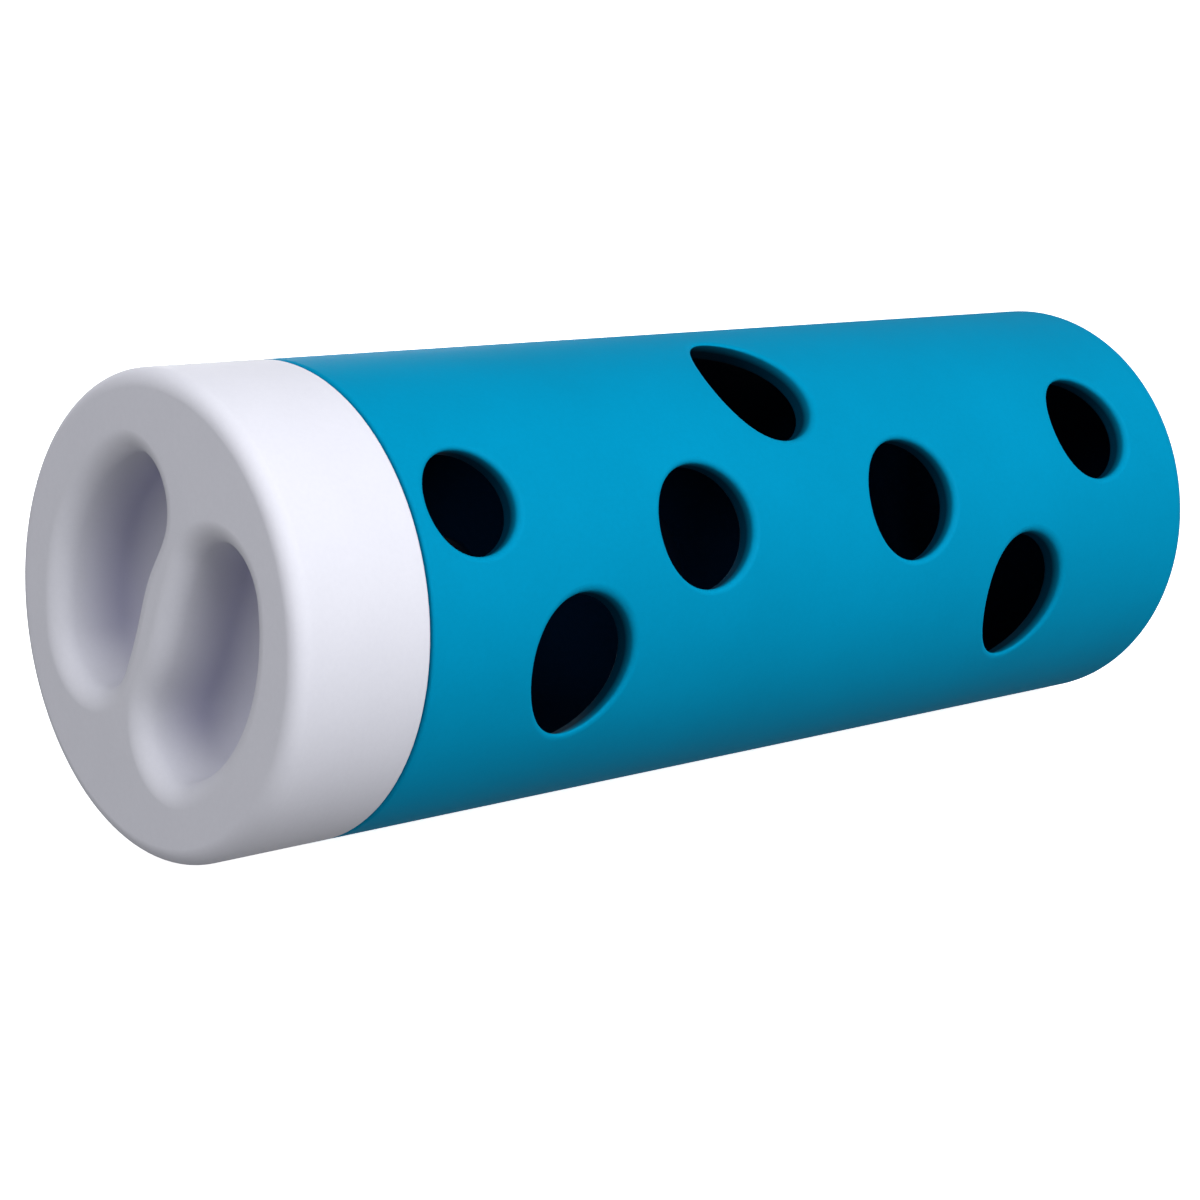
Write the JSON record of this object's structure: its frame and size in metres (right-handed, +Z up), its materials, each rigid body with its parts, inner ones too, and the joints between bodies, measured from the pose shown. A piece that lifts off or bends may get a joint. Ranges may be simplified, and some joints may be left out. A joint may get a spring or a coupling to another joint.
{
  "type": "treat dispensing roll",
  "caption": "Perforated tube with a closed end and a twist-lock lid: treats drop out of its holes as a pet rolls it over the floor.",
  "frame": {"origin": "on the floor, under the middle of the roll as it lies on its side", "axes": "+X along the roll from the lid to the closed end, +Z up, -Y towards the side with the holes in view"},
  "size_m": [0.1662, 0.06, 0.06],
  "materials": {
    "roll": "fine matt moulded skin",
    "lid": "fine matt moulded skin"
  },
  "bodies": {
    "roll": {"roll_body": "roll"},
    "lid": {"lid": "lid"}
  },
  "joints": [
    {"name": "lid_twist", "type": "hinge", "parent": "roll", "child": "lid", "pos_m": [-0.08315, 0, 0.03], "axis": [-1, 0, 0], "range_deg": [0, 50]}
  ]
}
